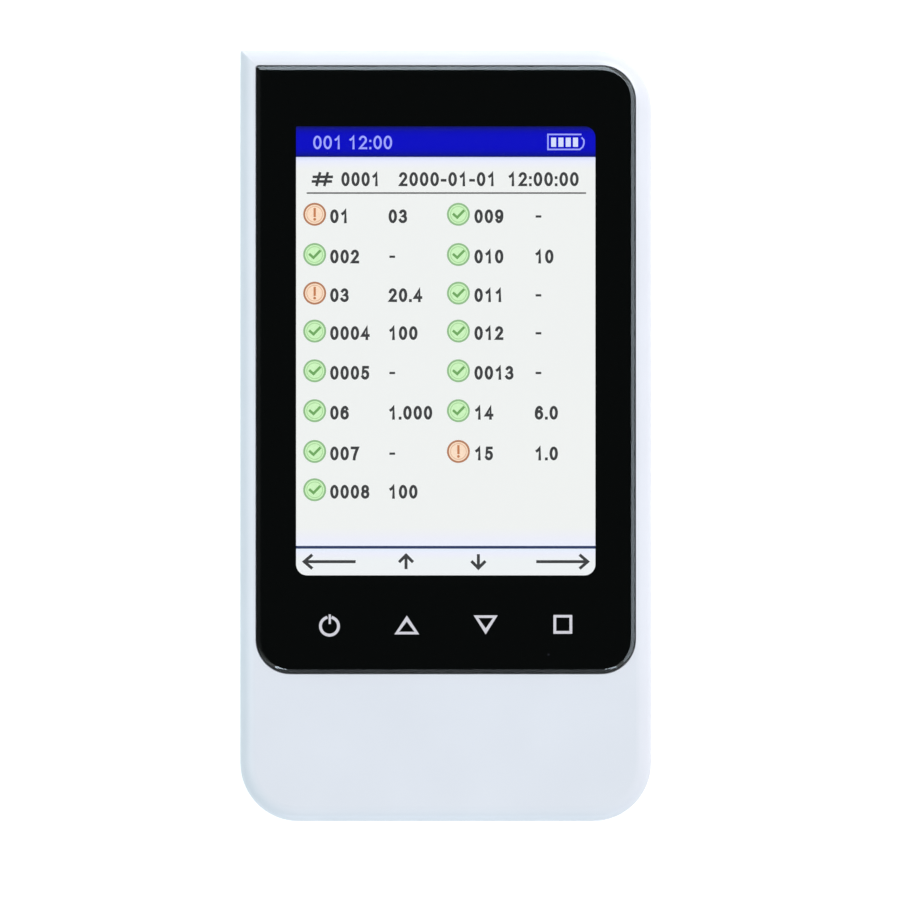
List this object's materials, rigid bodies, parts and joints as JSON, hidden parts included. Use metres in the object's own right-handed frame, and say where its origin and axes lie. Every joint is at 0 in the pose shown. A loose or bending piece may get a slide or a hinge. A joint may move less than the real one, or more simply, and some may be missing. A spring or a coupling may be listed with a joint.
{
  "type": "handheld urine analyzer",
  "caption": "Handheld urine test strip reader: moulded case, glass-covered colour screen, touch keys, motor-driven strip tray and sliding battery door.",
  "frame": {"origin": "middle of the case in plan, on the plane under the rubber feet", "axes": "+Z out of the glass, +Y along the length towards the charging socket, +X to the right as the screen is read; the strip tray leaves along -Y"},
  "size_m": [0.0674, 0.1264, 0.0306],
  "materials": {
    "case_plastic": "satin moulded, pale blue-white",
    "cover_glass": "clear polished",
    "black_print": "black print",
    "adhesive": "black foam adhesive",
    "display": "lit display cell",
    "steel": "plain",
    "white_plastic": "plain white",
    "dark_plastic": "matte black",
    "frame_plastic": "matte grey",
    "board": "green laminate",
    "chip": "black epoxy",
    "light_guide": "clear frosted",
    "lamp": "clear resin",
    "polyimide": "amber film",
    "rubber": "soft matte",
    "tray_plastic": "satin moulded, white",
    "tile": "white tile",
    "acetal": "natural acetal",
    "brass": "turned",
    "battery_wrap": "blue shrink film",
    "foam": "open foam",
    "gold": "gold-flashed spring strip",
    "optic_glass": "clear"
  },
  "bodies": {
    "case": {"front_shell": "case_plastic", "rear_shell": "case_plastic", "rubber_feet": "rubber", "cover_glass": "cover_glass", "printed_mask": "black_print", "glass_adhesive": "adhesive", "display_cell": "display", "display_backlight": "white_plastic", "display_gasket": "adhesive", "display_ribbon": "polyimide", "key_board": "board", "key_lamps": "lamp", "key_guides": "light_guide", "key_ribbon": "polyimide", "inner_frame": "frame_plastic", "tray_sensor": "dark_plastic", "gear_axle": "steel", "stepper_motor": "steel", "motor_ribbon": "polyimide", "optics_housing": "dark_plastic", "optics_window": "optic_glass", "sensor_board": "board", "sensor_lamps": "lamp", "photodiode": "chip", "sensor_ribbon": "polyimide", "main_board": "board", "main_processor": "chip", "power_parts": "chip", "board_connectors": "white_plastic", "buzzer": "dark_plastic", "charging_socket": "steel", "battery_pack": "battery_wrap", "battery_pad": "foam", "battery_contacts": "gold"},
    "strip_tray": {"strip_tray": "tray_plastic", "tray_front": "case_plastic", "reference_tile": "tile", "drive_rack": "acetal"},
    "drive_gear": {"drive_gear": "acetal"},
    "motor_rotor": {"motor_shaft": "steel", "motor_pinion": "brass"},
    "battery_door": {"battery_door": "case_plastic"}
  },
  "joints": [
    {"name": "tray_slide", "type": "slide", "parent": "case", "child": "strip_tray", "axis": [0, -1, 0], "range_m": [0, 0.072]},
    {"name": "drive_gear_spin", "type": "hinge", "parent": "case", "child": "drive_gear", "pos_m": [0.01829, -0.042, 0.01755], "axis": [0, 0, 1], "range_deg": [0, 460]},
    {"name": "motor_spin", "type": "hinge", "parent": "case", "child": "motor_rotor", "pos_m": [0.02179, -0.02891, 0.01755], "axis": [0, 0, 1], "range_deg": [-920, 0]},
    {"name": "battery_door_slide", "type": "slide", "parent": "case", "child": "battery_door", "axis": [0, 1, 0], "range_m": [0, 0.07]}
  ],
  "couplings": [
    {"joint": "drive_gear_spin", "follows": "tray_slide", "rad_per_m": 111.11},
    {"joint": "motor_spin", "follows": "tray_slide", "rad_per_m": -222.22}
  ]
}
